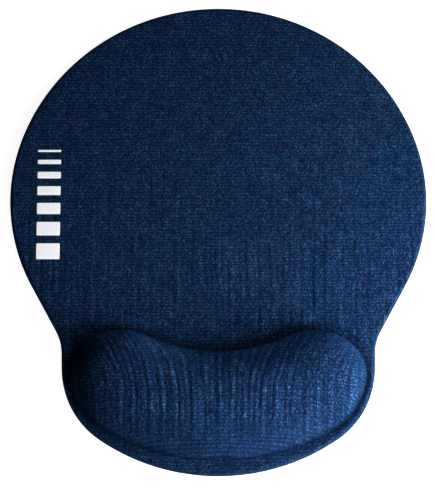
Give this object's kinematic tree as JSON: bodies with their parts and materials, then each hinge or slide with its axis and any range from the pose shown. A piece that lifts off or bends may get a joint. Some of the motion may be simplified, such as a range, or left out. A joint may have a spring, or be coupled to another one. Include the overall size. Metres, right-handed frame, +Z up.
{
  "type": "mouse pad with wrist rest",
  "caption": "Round-backed cloth-topped mouse pad with a bean-shaped memory-foam wrist rest across its front edge, under a navy-blue stretch-knit cover.",
  "frame": {"origin": "on the underside, at the centre of the outline's bounding box", "axes": "+Z up; +Y away from the user, towards the mat's round back; +X to the user's right; the shape is symmetric about X = 0"},
  "size_m": [0.2292, 0.266, 0.024],
  "materials": {
    "knit": "heathered navy-blue stretch knit, matt with a faint sheen",
    "print": "matt white heat-transfer print",
    "sponge": "black closed-cell sponge",
    "memory_foam": "cream open-cell memory foam",
    "adhesive": "thin hot-melt film",
    "base_rubber": "black rubber with a raised grip texture"
  },
  "bodies": {
    "root": {"knit_cover": "knit", "printed_mark": "print", "mat_foam": "sponge", "rest_foam": "memory_foam", "rest_adhesive": "adhesive", "base_adhesive": "adhesive", "non_slip_base": "base_rubber"}
  },
  "joints": []
}
